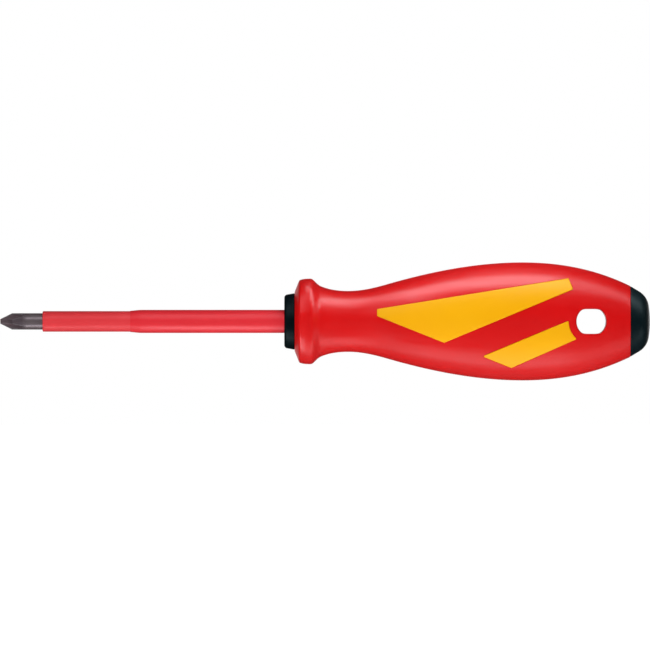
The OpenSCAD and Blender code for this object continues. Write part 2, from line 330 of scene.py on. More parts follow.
class Draft:
    """Vertices and faces of a piece while it is being made."""

    MERGE = 0.001 * MM

    def __init__(self) -> None:
        """Starts an empty draft."""
        self.vertices: list[np.ndarray] = []
        self.faces: list[tuple[int, ...]] = []
        self.count = 0

    @classmethod
    def turned(cls, profile: np.ndarray, segments: int, closed: bool) -> "Draft":
        """Turns a profile round the X axis.

        Args:
            profile: points (x, r). A point with r 0 is an end on the axis.
            segments: number of steps round the axis.
            closed: whether the last point joins the first.

        Returns:
            The draft.
        """
        draft, rows = cls(), []
        angle = 2 * np.pi * np.arange(segments) / segments
        for x, r in profile:
            ring = angle if r else angle[:1]
            row = draft.row(np.column_stack([np.full(len(ring), x), -r * np.cos(ring), r * np.sin(ring)]))
            rows.append(np.resize(row, segments))
        following = rows[1:] + (rows[:1] if closed else [])
        for row, other in zip(rows, following):
            draft.band(row, other)
        draft.faces = [tuple(dict.fromkeys(face)) for face in draft.faces]
        return draft

    def add(self, vertices: np.ndarray, faces: Sequence[Sequence[int]] = ()) -> int:
        """Adds vertices, and faces that count from the first of them.

        Args:
            vertices: points, one per row.
            faces: rows of vertex numbers.

        Returns:
            The number of the first vertex.
        """
        first = self.count
        self.vertices.append(np.asarray(vertices, float))
        self.faces += [tuple(int(i) + first for i in face) for face in faces]
        self.count += len(vertices)
        return first

    def row(self, vertices: np.ndarray) -> np.ndarray:
        """Adds vertices without faces and gives their numbers."""
        return self.add(vertices) + np.arange(len(vertices))

    def band(self, row: np.ndarray, other: np.ndarray) -> None:
        """Joins two closed rows of vertex numbers by a band of quads."""
        quads = zip(row, np.roll(row, -1), np.roll(other, -1), other)
        self.faces += [tuple(map(int, quad)) for quad in quads]

    def mesh(self, name: str, sharp_deg: float) -> bpy.types.Mesh:
        """Makes the mesh, with its normals outwards and its sharp edges marked.

        Args:
            name: the mesh's name.
            sharp_deg: angle above which an edge is sharp.

        Returns:
            The mesh.
        """
        mesh = bpy.data.meshes.new(name)
        mesh.from_pydata(np.concatenate(self.vertices).tolist(), [], self.faces)
        work = bmesh.new()
        work.from_mesh(mesh)
        bmesh.ops.remove_doubles(work, verts=work.verts, dist=self.MERGE)
        bmesh.ops.recalc_face_normals(work, faces=work.faces)
        open_edges = sum(not edge.is_manifold for edge in work.edges)
        if open_edges:
            LOG.warning("%s has %d open edges", name, open_edges)
        work.to_mesh(mesh)
        work.free()
        mesh.shade_smooth()
        mesh.set_sharp_from_angle(angle=math.radians(sharp_deg))
        return mesh


class HalfSkin:
    """The near half of a turned surface, with rings of points worked into it."""

    UNROLL_R = 13 * MM
    SAME_POINT = 1e-5

    def __init__(self, side: np.ndarray, turns: np.ndarray) -> None:
        """Lays a grid over the surface.

        Args:
            side: points (x, r) of the surface's profile.
            turns: angles round the axis, from straight down to straight up.
        """
        self.side, self.run = side, lengths_along(side)
        row, turn = np.meshgrid(np.arange(len(side)), turns, indexing="ij")
        self.row, self.turn = self.run[row.ravel()], turn.ravel()
        self.x, self.r = side[row.ravel()].T
        self.height = np.zeros(len(self.x))
        self.z = np.full(len(self.x), np.nan)
        self.rings: list[np.ndarray] = []

    def side_view(self) -> np.ndarray:
        """Gives each point's place (x, z) in the side view."""
        return np.column_stack([self.x, self.r * np.sin(self.turn)])

    def keep(self, kept: np.ndarray) -> None:
        """Keeps some of the grid's points and drops the others, before any ring is added."""
        for name in ("row", "turn", "x", "r", "height", "z"):
            setattr(self, name, getattr(self, name)[kept])

    def add_ring(self, places: np.ndarray, height: float) -> np.ndarray:
        """Works a closed ring of points into the surface.

        Args:
            places: points (x, z) in the side view.
            height: how far they stand over the surface.

        Returns:
            The numbers of the new points.
        """
        x, z = places.T
        r = np.interp(x, self.side[:, 0], self.side[:, 1])
        ids = len(self.x) + np.arange(len(x))
        self.row = np.append(self.row, np.interp(x, self.side[:, 0], self.run))
        self.turn = np.append(self.turn, np.arcsin(z / r))
        self.x, self.r = np.append(self.x, x), np.append(self.r, r)
        self.height = np.append(self.height, np.full(len(x), height))
        self.z = np.append(self.z, z)
        self.rings.append(ids)
        return ids

    def add_roll(self, outline: Outline, reach: float, top: float, steps: int) -> np.ndarray:
        """Works the rings of a rounded edge into the surface, from the foot of its roll up.

        Args:
            outline: where the foot stands.
            reach: radius of the roll, positive outwards and negative inwards.
            top: height of the surface.
            steps: number of steps round the roll.

        Returns:
            The numbers of the foot's points.
        """
        rings = []
        for i in range(steps + 1):
            angle = math.pi / 2 * i / steps
            ring = outline.moved(reach * (1 - math.cos(angle)))
            rings.append(self.add_ring(ring, top - abs(reach) * (1 - math.sin(angle))))
        return rings[0]

    def places(self, height: float | None = None) -> np.ndarray:
        """Gives the points in space.

        Args:
            height: one height over the surface for all, or None for their own.

        Returns:
            Points, one per row.
        """
        radius = self.r + (self.height if height is None else height)
        z = np.where(np.isnan(self.z), radius * np.sin(self.turn), self.z)
        return np.column_stack([self.x, -np.sqrt(np.maximum(radius**2 - z**2, 0.0)), z])

    def flat(self) -> np.ndarray:
        """Gives the points on the unrolled surface, in millimetres."""
        return np.column_stack([self.row, self.turn * self.UNROLL_R]) / MM

    def triangles(self) -> np.ndarray:
        """Triangulates the unrolled surface with every ring kept as edges.

        Returns:
            Rows of three point numbers.
        """
        edges = [(int(a), int(b)) for ring in self.rings for a, b in zip(ring, np.roll(ring, -1))]
        points = [Vector(place) for place in self.flat()]
        _, _, faces, origins, _, _ = delaunay_2d_cdt(points, edges, [], 0, self.SAME_POINT)
        return np.array([[origins[i][0] for i in face] for face in faces])

    def within(self, triangles: np.ndarray, ring: np.ndarray) -> np.ndarray:
        """Tells which triangles lie inside a ring."""
        flat = self.flat()
        return inside(flat[triangles].mean(1), flat[ring])


# Finishes


class NodeBoard:
    """A node tree, with short calls to add nodes."""

    MIX_SHADER = "ShaderNodeMixShader"

    def __init__(self, tree: bpy.types.NodeTree) -> None:
        """Keeps the tree."""
        self.tree = tree

    def add(self, kind: str, inputs: dict | None = None, **settings: object) -> bpy.types.Node:
        """Adds a node.

        Args:
            kind: the node's type.
            inputs: its inputs by name or number, each a value or another node's output.
            **settings: its properties.

        Returns:
            The node.
        """
        node = self.tree.nodes.new(kind)
        for name, value in settings.items():
            setattr(node, name, value)
        self.feed(node, inputs or {})
        return node

    def feed(self, node: bpy.types.Node, inputs: dict) -> None:
        """Sets or links a node's inputs.

        Args:
            node: the node.
            inputs: values or outputs, by the name or number of the input.
        """
        for name, value in inputs.items():
            if isinstance(value, Socket):
                self.tree.links.new(value, node.inputs[name])
            else:
                node.inputs[name].default_value = value

    def math(self, operation: str, *inputs: Socket | float) -> Socket:
        """Adds a calculation with numbers."""
        return self.add("ShaderNodeMath", dict(enumerate(inputs)), operation=operation).outputs[0]

    def vector(self, operation: str, *inputs: Socket | Triple) -> bpy.types.Node:
        """Adds a calculation with vectors."""
        return self.add("ShaderNodeVectorMath", dict(enumerate(inputs)), operation=operation)

    def mix(self, share: Socket, first: Socket, second: object, kind: str = "ShaderNodeMixRGB") -> Socket:
        """Mixes two colours, or two shaders if the kind says so."""
        return self.add(kind, {0: share, 1: first, 2: second}).outputs[0]

    def between(self, share: Socket, span: Pair, to: Pair = (0.0, 1.0)) -> Socket:
        """Maps a value from one range to another, held at its ends."""
        wanted = {"Value": share, "From Min": span[0], "From Max": span[1], "To Min": to[0], "To Max": to[1]}
        return self.add("ShaderNodeMapRange", wanted).outputs["Result"]


class FinishBoard(NodeBoard):
    """A new material's node tree, with its shader and the patterns of a finish."""

    SOFT = 2.0
    FINE = 3.0
    CLOUDY = 4.0
    SPREAD = (0.3, 0.7)

    def __init__(self, name: str) -> None:
        """Makes the material.

        Args:
            name: the material's name.
        """
        self.material = bpy.data.materials.new(name)
        self.material.use_nodes = True
        super().__init__(self.material.node_tree)
        self.shader = self.tree.nodes["Principled BSDF"]
        self.place = self.add("ShaderNodeTexCoord").outputs["Object"]

    def noise(self, scale: Triple, detail: float) -> Socket:
        """Adds a noise.

        Args:
            scale: features per metre along each axis.
            detail: layers of finer noise in it.

        Returns:
            The noise, from 0 to 1.
        """
        stretched = self.vector("MULTIPLY", self.place, scale).outputs[0]
        wanted = {"Vector": stretched, "Scale": 1.0, "Detail": detail}
        return self.add("ShaderNodeTexNoise", wanted).outputs["Fac"]

    def ramp(self, noise: Socket, tones: Tones) -> Socket:
        """Turns a noise into a colour between two tones.

        Args:
            noise: the noise that picks the colour.
            tones: the deep tone and the full one.

        Returns:
            The colour.
        """
        node = self.add("ShaderNodeValToRGB", {"Fac": noise})
        for stop, at, tone in zip(node.color_ramp.elements, self.SPREAD, tones):
            stop.position, stop.color = at, (*tone, 1.0)
        return node.outputs["Color"]

    def bump(self, heights: list[tuple[Socket, float]]) -> Socket:
        """Stacks bumps.

        Args:
            heights: for each, a height from 0 to 1 and the depth in metres that it stands for.

        Returns:
            The normal.
        """
        above = {}
        for height, depth in heights:
            wanted = {"Height": height, "Strength": 1.0, "Distance": depth, **above}
            above = {"Normal": self.add("ShaderNodeBump", wanted).outputs["Normal"]}
        return above["Normal"]


@dataclass(frozen=True)
class MouldedPlastic:
    """A moulded plastic: clouds of two close tones, flow lines, fine grain and faint handling marks."""

    name: str
    tones: Tones
    roughness: float
    specular: float
    rough_swing: float = 0.05
    cloud: float = 55.0
    flow: Triple = (25.0, 400.0, 400.0)
    flow_depth: float = 0.004 * MM
    grain: float = 2600.0
    grain_depth: float = 0.004 * MM
    mark: Triple = (90.0, 900.0, 900.0)

    def material(self) -> bpy.types.Material:
        """Makes the material.

        Returns:
            The material.
        """
        board = FinishBoard(self.name)
        clouds = board.noise((self.cloud,) * 3, board.CLOUDY)
        grain = board.noise((self.grain,) * 3, board.FINE)
        flow = board.noise(self.flow, board.SOFT)
        marks = board.noise(self.mark, board.FINE)
        gloss = (self.roughness - self.rough_swing, self.roughness + self.rough_swing)
        board.feed(board.shader, {
            "Base Color": board.ramp(clouds, self.tones),
            "Roughness": board.between(marks, board.SPREAD, gloss),
            "Specular IOR Level": self.specular,
            "Normal": board.bump([(flow, self.flow_depth), (grain, self.grain_depth)]),
        })
        return board.material


@dataclass(frozen=True)
class BurnishedSteel:
    """Tool steel with fine turning lines, a blackened point and bright worn edges, and painted light in the
    point's flutes with painted shade on its outer skin.
    """

    name: str = "burnished steel"
    tones: Tones = ((0.258, 0.198, 0.216), (0.31, 0.245, 0.264))
    # Painted shade on the point's outer skin and painted light in its flutes, blended by distance from the
    # axis.
    painted_shade_skin_tones: Tones = ((0.158, 0.112, 0.127), (0.191, 0.137, 0.154))
    painted_light_flute_tones: Tones = ((0.235, 0.167, 0.187), (0.300, 0.215, 0.239))
    painted_shade_span: Pair = (1.0 * MM, 2.2 * MM)
    metallic: float = 0.68
    roughness: float = 0.32
    point_roughness: float = 0.62
    point_span: Pair = (-73.9 * MM, -72.5 * MM)
    cloud: Triple = (300.0, 700.0, 700.0)
    line: Triple = (9000.0, 120.0, 120.0)
    grain: float = 5200.0
    line_depth: float = 0.005 * MM
    wear: str = "wear"
    worn_tone: Triple = (0.42, 0.38, 0.395)
    worn_span: Pair = (0.35, 0.6)
    worn_share: Pair = (0.35, 0.9)

    def material(self) -> bpy.types.Material:
        """Makes the material.

        Returns:
            The material.
        """
        board = FinishBoard(self.name)
        clouds = board.noise(self.cloud, board.CLOUDY)
        lines = board.noise(self.line, board.FINE)
        grain = board.noise((self.grain,) * 3, board.SOFT)
        along = board.add("ShaderNodeSeparateXYZ", {0: board.place}).outputs["X"]
        across = board.vector("MULTIPLY", board.place, (0.0, 1.0, 1.0)).outputs[0]
        outward = board.vector("LENGTH", across).outputs["Value"]
        bare = board.between(along, self.point_span)
        bar, skin, flutes = (board.ramp(clouds, t) for t in (self.tones, self.painted_shade_skin_tones, self.painted_light_flute_tones))
        # Painted light and shade on the point: lighter tones in the flutes near the axis, darker ones on the
        # outer skin.
        point = board.mix(board.between(outward, self.painted_shade_span), flutes, skin)
        worn = board.add("ShaderNodeAttribute", attribute_name=self.wear).outputs["Fac"]
        patchy = board.math("MULTIPLY", worn, board.between(clouds, self.worn_span, self.worn_share))
        board.feed(board.shader, {
            "Base Color": board.mix(patchy, board.mix(bare, point, bar), (*self.worn_tone, 1.0)),
            "Metallic": self.metallic,
            "Roughness": board.between(bare, (0.0, 1.0), (self.point_roughness, self.roughness)),
            "Normal": board.bump([(lines, self.line_depth), (grain, self.line_depth)]),
        })
        return board.material


RED_GRIP = MouldedPlastic("red grip", ((0.665, 0.0018, 0.0025), (0.71, 0.0022, 0.0030)), 0.33, 0.45)
YELLOW_PANEL = MouldedPlastic(
    "yellow panel", ((0.92, 0.425, 0.001), (0.945, 0.455, 0.0015)), 0.40, 0.2,
    grain=1900.0, grain_depth=0.007 * MM,
)
COLLAR_PLASTIC = MouldedPlastic(
    "collar plastic", ((0.0008, 0.0032, 0.0041), (0.0012, 0.0044, 0.0056)), 0.42, 0.09,
    grain=2200.0, grain_depth=0.008 * MM,
)
CAP_PLASTIC = replace(
    COLLAR_PLASTIC, name="cap plastic", tones=((0.0004, 0.0056, 0.0078), (0.0006, 0.0074, 0.0104)),
    specular=0.37,
)
INNER_SLEEVE = MouldedPlastic(
    "inner sleeve", ((0.75, 0.039, 0.048), (0.79, 0.045, 0.055)), 0.32, 0.42,
    rough_swing=0.015, flow=(4.0, 500.0, 500.0), flow_depth=0.002 * MM,
)
OUTER_SLEEVE = replace(
    INNER_SLEEVE, name="outer sleeve", tones=((0.75, 0.022, 0.033), (0.79, 0.026, 0.038))
)
CORE_PLASTIC = MouldedPlastic("core plastic", ((0.045, 0.045, 0.05), (0.055, 0.055, 0.06)), 0.5, 0.4)
STEEL = BurnishedSteel()


# The tool


@dataclass
class SubAssembly:
    """A group of pieces that are built and dressed together."""

    pieces: list[bpy.types.Object] = field(default_factory=list, init=False)

    def place(self, mesh: bpy.types.Mesh, node: str, slot: Slot) -> bpy.types.Object:
        """Puts a mesh in the scene in place of a node.

        Args:
            mesh: the piece's mesh, in the tool's own frame.
            node: the node that it stands for.
            slot: its material slot; not used.

        Returns:
            The piece.
        """
        piece = bpy.data.objects.new(mesh.name, mesh)
        bpy.context.scene.collection.objects.link(piece)
        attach(piece, BODY)
        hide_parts(node)
        self.pieces.append(piece)
        LOG.info("%s: %d faces", piece.name, len(mesh.polygons))
        return piece

    def paint(self, finish: MouldedPlastic | BurnishedSteel, pieces: list[bpy.types.Object]) -> None:
        """Gives pieces one finish.

        Args:
            finish: the finish.
            pieces: the pieces or nodes that get it.
        """
        material = finish.material()
        for piece in pieces:
            piece.data.materials.clear()
            piece.data.materials.append(material)


@dataclass(frozen=True)
class SeatForm:
    """How the sleeve's anchor and the collar's spigot sit in the front of the grip."""

    sleeve_r: float = 3.25 * MM
    flare: float = 1.0 * MM
    anchor_r: float = 4.5 * MM
    spigot_r: float = 5.7 * MM
    barb_x: float = 5.5 * MM
    barb_r: float = 6.5 * MM
    end_x: float = 6.9 * MM

    def barb(self) -> list[Pair]:
        """Gives the profile (x, r) that the spigot's barb and its groove share."""
        return [(self.barb_x, self.spigot_r), (self.barb_x, self.barb_r), (self.end_x, self.barb_r)]


@dataclass(frozen=True)
class HandleForm:
    """The handle's turned form, which the grip and its panels share."""

    grip_x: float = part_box("grip_shell")[0].x
    cap_x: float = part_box("grip_shell")[1].x
    bulge_r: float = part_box("grip_shell")[1].z
    nose_d: float = 16.6 * MM
    flange_d: float = 24.0 * MM
    flange_face: float = 1.5 * MM
    flange_crest: float = 3.5 * MM
    flange_w: float = 5.3 * MM
    flange_crown: float = 0.35 * MM
    flange_slopes: Pair = (0.3, -0.9)
    face_run: float = 0.55 * MM
    face_rise: float = 0.95 * MM
    face_spacing: float = 0.45 * MM
    foot_run: float = 2.1 * MM
    foot_rise: float = 1.35 * MM
    foot_slope: float = -0.42
    waist_pos: float = 15.2 * MM
    waist_d: float = 17.1 * MM
    tail_len: float = 30.4 * MM
    tail_slope: float = 0.49
    cap_d: float = 19.9 * MM
    rise_share: Triple = (0.222, 0.237, 1.76)
    corner_steps: int = 5
    span_steps: tuple[int, ...] = (6, 7, 9, 11, 13, 42, 34)
    turn_steps: int = 66
    touching: float = 0.001 * MM
    clear: float = 0.45 * MM

    @property
    def waist_x(self) -> float:
        """Place of the waist."""
        return self.grip_x + self.waist_pos

    @property
    def bulge_x(self) -> float:
        """Place of the middle of the bulge."""
        return self.cap_x - self.tail_len

    @property
    def foot(self) -> Station:
        """The station at the foot of the flange's rear."""
        x = self.grip_x + self.flange_w + self.foot_run
        return Station(x, self.waist_d / 2 + self.foot_rise, self.foot_slope)

    def stations(self) -> list[Station]:
        """Gives the stations of the side.

        Returns:
            The stations, from the flange's front corner to the end cap.
        """
        flange_r, waist_r = self.flange_d / 2, self.waist_d / 2
        edge_r, (front_slope, rear_slope) = flange_r - self.flange_crown, self.flange_slopes
        swell, swell_len = self.bulge_r - waist_r, self.bulge_x - self.waist_x
        along, up, steep = self.rise_share
        return [
            Station(self.grip_x + self.flange_face, edge_r, front_slope),
            Station(self.grip_x + self.flange_crest, flange_r, 0.0),
            Station(self.grip_x + self.flange_w, edge_r, rear_slope),
            self.foot,
            Station(self.waist_x, waist_r, 0.0),
            Station(self.waist_x + along * swell_len, waist_r + up * swell, steep * swell / swell_len),
            Station(self.bulge_x, self.bulge_r, 0.0),
            Station(self.cap_x, self.cap_d / 2, -self.tail_slope),
        ]

    def side(self) -> np.ndarray:
        """Gives the profile of the side.

        Returns:
            Points (x, r), from the front of the grip to the end cap.
        """
        stops = self.stations()
        corner = stops[0]
        nose = np.array([self.grip_x, self.nose_d / 2])
        face_end = corner.point - [self.face_run, self.face_rise]
        steep = (face_end[1] - nose[1]) / (face_end[0] - nose[0])
        bend = crossing(face_end, steep, corner.point, corner.slope)
        runs = [
            walk(np.array([nose, face_end]), (0.0, 0.0), self.face_spacing)[:-1],
            rounded(face_end, bend, corner.point, self.corner_steps)[:-1],
            *(a.curve_to(b, n) for a, b, n in zip(stops, stops[1:], self.span_steps)),
        ]
        return np.concatenate([*runs, [stops[-1].point]])

    def radius(self, x: float) -> float:
        """Gives the radius of the handle at a place."""
        return np.interp(x, *self.side().T)

    def turns(self) -> np.ndarray:
        """Gives the angles of a grid over the near half, from straight down to straight up."""
        return np.linspace(-np.pi / 2, np.pi / 2, self.turn_steps + 1)

    def shade(self, mesh: bpy.types.Mesh, height: float) -> None:
        """Gives a mesh the true normals of the handle's side wherever it follows that side.

        Args:
            mesh: the mesh.
            height: how far its surface stands over the side.
        """
        side_x, side_r = self.side().T
        x, y, z = np.array([vertex.co for vertex in mesh.vertices]).T
        radius = np.hypot(y, z)
        off = np.abs(radius - height - np.interp(x, side_x, side_r))
        follows = (off < self.touching) & (x > side_x[1]) & (x < side_x[-2])
        lean = -np.interp(x, side_x, np.gradient(side_r, side_x))
        made = np.column_stack([lean, y / radius, z / radius])
        made = made / np.linalg.norm(made, axis=1, keepdims=True) * follows[:, None]
        mesh.normals_split_custom_set_from_vertices(made.tolist())


@dataclass(frozen=True)
class HoleForm:
    """The hanging hole: a round hole with two flats."""

    handle: HandleForm
    setback: float = 11.1 * MM
    d: float = 8.4 * MM
    flats: float = 7.0 * MM
    rim: float = 2.2 * MM
    lining: float = 1.6 * MM
    roll: float = 0.7 * MM
    roll_steps: int = 5
    blend: int = 14
    steps: int = 88

    @property
    def x(self) -> float:
        """Place of the hole's middle."""
        return self.handle.cap_x - self.setback

    @property
    def rim_r(self) -> float:
        """Radius of the rim that the panels stay clear of."""
        return self.d / 2 + self.rim

    def arc(self, r: float, angle: np.ndarray) -> np.ndarray:
        """Gives points (x, z) on a circle round the hole's middle, at some angles."""
        return np.column_stack([self.x + r * np.cos(angle), r * np.sin(angle)])

    def circle(self, r: float) -> Outline:
        """Gives a circle round the hole's middle."""
        return Outline(self.arc(r, 2 * np.pi * np.arange(self.steps) / self.steps))

    def outline(self) -> Outline:
        """Gives the hole's outline.

        Returns:
            The outline, with its flats blended into its round walls.
        """
        x, z = self.circle(self.d / 2).places.T
        high = np.maximum(np.abs(z), self.d * TINY)
        held = (high ** -self.blend + (self.flats / 2) ** -self.blend) ** (-1 / self.blend)
        return Outline(np.column_stack([x, np.sign(z) * held]))


@dataclass(frozen=True)
class PanelForm:
    """Outlines of the panels on one side of the handle, and how they sit in the grip."""

    handle: HandleForm
    hole: HoleForm
    tip_gap: float = 8.0 * MM
    tip_z: float = 2.5 * MM
    tip_h: float = 2.0 * MM
    edge_gap: float = 3.4 * MM
    low: float = 3.2 * MM
    chevron_deg: float = 21.8
    wrap_deg: float = 51.0
    band_deg: float = 22.5
    band_w: float = 7.6 * MM
    band_setback: float = 16.9 * MM
    corner: float = 0.3 * MM
    depth: float = 1.2 * MM
    proud: float = 0.2 * MM
    spacing: float = 0.6 * MM
    hollow_steps: int = 23

    @property
    def slopes(self) -> Pair:
        """Slopes of the band's edges and of the edges that meet them in a chevron."""
        return math.tan(math.radians(self.band_deg)), -math.tan(math.radians(self.chevron_deg))

    def band_edge(self, side: float) -> np.ndarray:
        """Gives where an edge of the band crosses the axis, the upper one for -1 and the lower for 1."""
        half = self.band_w / 2 / math.sin(math.radians(self.band_deg))
        return np.array([self.hole.x - self.band_setback + side * half, 0.0])

    def front(self) -> Outline:
        """Gives the front panel's outline.

        Returns:
            The outline: a blunt tip, a low corner, and an end square to the band.
        """
        band, chevron = self.slopes
        tip = np.array([self.handle.waist_x + self.tip_gap, self.tip_z])
        half = np.array([0.0, self.tip_h / 2])
        rear_x = self.hole.x - self.hole.rim_r
        rear_top = np.array([rear_x, self.handle.radius(rear_x) - self.edge_gap])
        upper = self.band_edge(-1)
        corners = [
            tip + half,
            tip - half,
            crossing(tip - half, chevron, upper, band),
            crossing(rear_top, -1 / band, upper, band),
            rear_top,
        ]
        runs = [np.array(pair) for pair in zip(corners, corners[1:] + corners[:1])]
        return Outline.joined(runs, self.corner, self.spacing)

    def rear(self) -> Outline:
        """Gives the rear panel's outline.

        Returns:
            The outline, hollowed round the hole's rim.
        """
        band, chevron = self.slopes
        low_x = self.handle.bulge_x - self.low
        low = np.array([low_x, self.edge_gap - self.handle.radius(low_x)])
        lower, rim_r = self.band_edge(1), self.hole.rim_r
        front = crossing(low, chevron, lower, band)
        lean = math.radians(self.band_deg)
        top = math.pi + lean - math.asin((self.hole.x - lower[0]) * math.sin(lean) / rim_r)
        wrap = math.pi + math.radians(self.wrap_deg)
        hollow = self.hole.arc(rim_r, np.linspace(wrap, top, self.hollow_steps + 1))
        runs = [np.array([front, low]), np.array([low, hollow[0]]), hollow, np.array([hollow[-1], front])]
        return Outline.joined(runs, self.corner, self.spacing)

    def outlines(self) -> dict[str, Outline]:
        """Gives both outlines by name."""
        return {"front": self.front(), "rear": self.rear()}


@dataclass
class Grip(SubAssembly):
    """The red shell with its pockets and the hanging hole, over its hidden core."""

    seat: SeatForm
    handle: HandleForm
    hole: HoleForm
    panels: PanelForm
    wall: float = 1.9 * MM
    seam_roll: float = 0.14 * MM
    end_roll: float = 0.2 * MM
    roll_steps: int = 3
    parting_w: float = 0.16 * MM
    parting_h: float = 0.025 * MM
    sharp_deg: float = 35.0

    def turns(self) -> np.ndarray:
        """Gives the angles of the grid, with one line close to either parting line."""
        close = np.pi / 2 - self.parting_w / self.handle.bulge_r
        return np.sort(np.append(self.handle.turns(), [-close, close]))

    def outer_side(self) -> np.ndarray:
        """Gives the profile of the outside.

        Returns:
            Points (x, r), with the flat ends that the outside closes on.
        """
        side, roll, steps = self.handle.side(), self.end_roll, self.roll_steps
        front, rear, down = side[0], side[-1], np.array([0.0, roll])
        nose = rounded(front - down, front, front + unit(side[1] - front) * roll, steps)
        tail = rounded(rear + unit(side[-2] - rear) * roll, rear, rear - down, steps)
        first, last = [front[0], self.seat.spigot_r], [rear[0], rear[1] - self.wall]
        return np.concatenate([[first], nose, side[1:-1], tail, [last]])

    def inner_side(self) -> np.ndarray:
        """Gives the profile of the inside.

        Returns:
            Points (x, r), from the collar's bore to the rear end.
        """
        seat, foot, side = self.seat, self.handle.foot, self.handle.side()
        start = [
            (self.handle.grip_x, seat.spigot_r),
            *seat.barb(),
            (seat.end_x, foot.r - self.wall),
        ]
        return np.concatenate([start, side[side[:, 0] > foot.x] - [0.0, self.wall]])

    def outer_half(self, draft: Draft) -> np.ndarray:
        """Adds the near half of the outside with its pockets, open at the hole.

        Args:
            draft: the draft that takes it.

        Returns:
            The vertex numbers round the hole.
        """
        skin = HalfSkin(self.outer_side(), self.turns())
        view = skin.side_view()
        hole = self.hole.outline()
        pockets = self.panels.outlines().values()
        kept = ~hole.holds(view) & (hole.distance(view) > self.hole.roll + self.handle.clear)
        for pocket in pockets:
            kept &= pocket.distance(view) > self.handle.clear
        skin.keep(kept)
        view = skin.side_view()
        for pocket in pockets:
            skin.height[pocket.holds(view)] = -self.panels.depth
        parting = np.abs(np.abs(skin.turn) - np.pi / 2) < TINY
        between_ends = (skin.x > self.handle.grip_x + TINY) & (skin.x < self.handle.cap_x - TINY)
        skin.height[parting & between_ends] = self.parting_h
        edge = skin.add_roll(hole, self.hole.roll, 0.0, self.hole.roll_steps)
        seams = [skin.add_roll(pocket, self.seam_roll, 0.0, self.roll_steps) for pocket in pockets]
        triangles = skin.triangles()
        triangles = triangles[~skin.within(triangles, edge)]
        numbers = draft.row(skin.places())
        floors = skin.places(-self.panels.depth)
        for seam in seams:
            lowered = numbers.copy()
            lowered[seam] = draft.row(floors[seam])
            pocket = skin.within(triangles, seam)
            draft.faces += [tuple(map(int, lowered[t])) for t in triangles[pocket]]
            draft.band(numbers[seam], lowered[seam])
            triangles = triangles[~pocket]
        draft.faces += [tuple(map(int, numbers[t])) for t in triangles]
        return numbers[edge]

    def inner_half(self, draft: Draft) -> np.ndarray:
        """Adds the near half of the inside, open where the hole's lining crosses it.

        Args:
            draft: the draft that takes it.

        Returns:
            The vertex numbers round the lining.
        """
        skin = HalfSkin(self.inner_side(), self.turns())
        circle = self.hole.circle(self.hole.d / 2 + self.hole.lining)
        view = skin.side_view()
        skin.keep(~circle.holds(view) & (circle.distance(view) > self.handle.clear))
        edge = skin.add_ring(circle.places, 0.0)
        triangles = skin.triangles()
        return edge + draft.add(skin.places(), triangles[~skin.within(triangles, edge)])

    def build(self) -> None:
        """Builds the shell as one closed mesh: outside, inside, ends and the hole's lining."""
        half, whole = Draft(), Draft()
        edges = [self.outer_half(half), self.inner_half(half)]
        places = np.concatenate(half.vertices)
        for side in Side:
            whole.add(side.turned(places), half.faces)
        for edge in edges:
            whole.band(edge, np.roll(edge[::-1], 1) + len(places))
        mesh = whole.mesh("grip", self.sharp_deg)
        self.handle.shade(mesh, 0.0)
        self.place(mesh, "grip_shell", Slot.RED)

    def dress(self) -> None:
        """Gives the shell and the hidden core their finishes."""
        self.paint(RED_GRIP, self.pieces)
        self.paint(CORE_PLASTIC, [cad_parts["handle_core"]])


@dataclass
class Panels(SubAssembly):
    """The four yellow panels let into the grip."""

    handle: HandleForm
    form: PanelForm
    roll: float = 0.22 * MM
    roll_steps: int = 4
    gap: float = 0.02 * MM
    sharp_deg: float = 50.0

    def half(self, outline: Outline) -> Draft:
        """Builds one panel on the near side.

        Args:
            outline: its outline in the side view.

        Returns:
            The draft, a closed solid.
        """
        skin = HalfSkin(self.handle.side(), self.handle.turns())
        view = skin.side_view()
        skin.keep(outline.holds(view) & (outline.distance(view) > self.roll + self.handle.clear))
        skin.height[:] = self.form.proud
        edge = Outline(outline.moved(-self.gap))
        rim = skin.add_roll(edge, -self.roll, self.form.proud, self.roll_steps)
        triangles = skin.triangles()
        triangles = triangles[skin.within(triangles, rim)]
        draft = Draft()
        top = draft.add(skin.places(), triangles)
        base = draft.add(skin.places(self.gap - self.form.depth), triangles[:, ::-1])
        draft.band(rim + top, rim + base)
        return draft

    def build(self) -> None:
        """Builds the front and the rear panel on both sides."""
        for name, outline in self.form.outlines().items():
            near = self.half(outline)
            for side in Side:
                draft = Draft()
                draft.add(side.turned(np.concatenate(near.vertices)), near.faces)
                mesh = draft.mesh(f"{name}_panel_{side.label}", self.sharp_deg)
                self.handle.shade(mesh, self.form.proud)
                self.place(mesh, f"panel_{name}_{side.label}", Slot.YELLOW)

    def dress(self) -> None:
        """Gives the panels their finish."""
        self.paint(YELLOW_PANEL, self.pieces)


@dataclass
class FrontCollar(SubAssembly):
    """The black ring where the sleeve enters the handle."""

    seat: SeatForm
    length: float = 2.9 * MM
    front_r: float = 7.45 * MM
    rear_r: float = 7.95 * MM
    edge: float = 0.8 * MM
    rear_edge: float = 0.2 * MM
    edge_steps: int = 7
    segments: int = 128
    sharp_deg: float = 30.0

    def build(self) -> None:
        """Builds the ring with its rounded edges and its barbed spigot."""
        seat = self.seat
        corners = [
            (0.0, seat.sleeve_r),
            (0.0, self.front_r),
            (self.length, self.rear_r),
            (self.length, seat.spigot_r),
            *seat.barb(),
            (seat.end_x, seat.anchor_r),
            (seat.flare, seat.anchor_r),
        ]
        cuts = [0.0, self.edge, self.rear_edge] + [0.0] * 6
        draft = Draft.turned(soften(corners, cuts, self.edge_steps), self.segments, True)
        self.place(draft.mesh("collar", self.sharp_deg), "front_collar", Slot.BLACK)

    def dress(self) -> None:
        """Gives the collar its finish."""
        self.paint(COLLAR_PLASTIC, self.pieces)


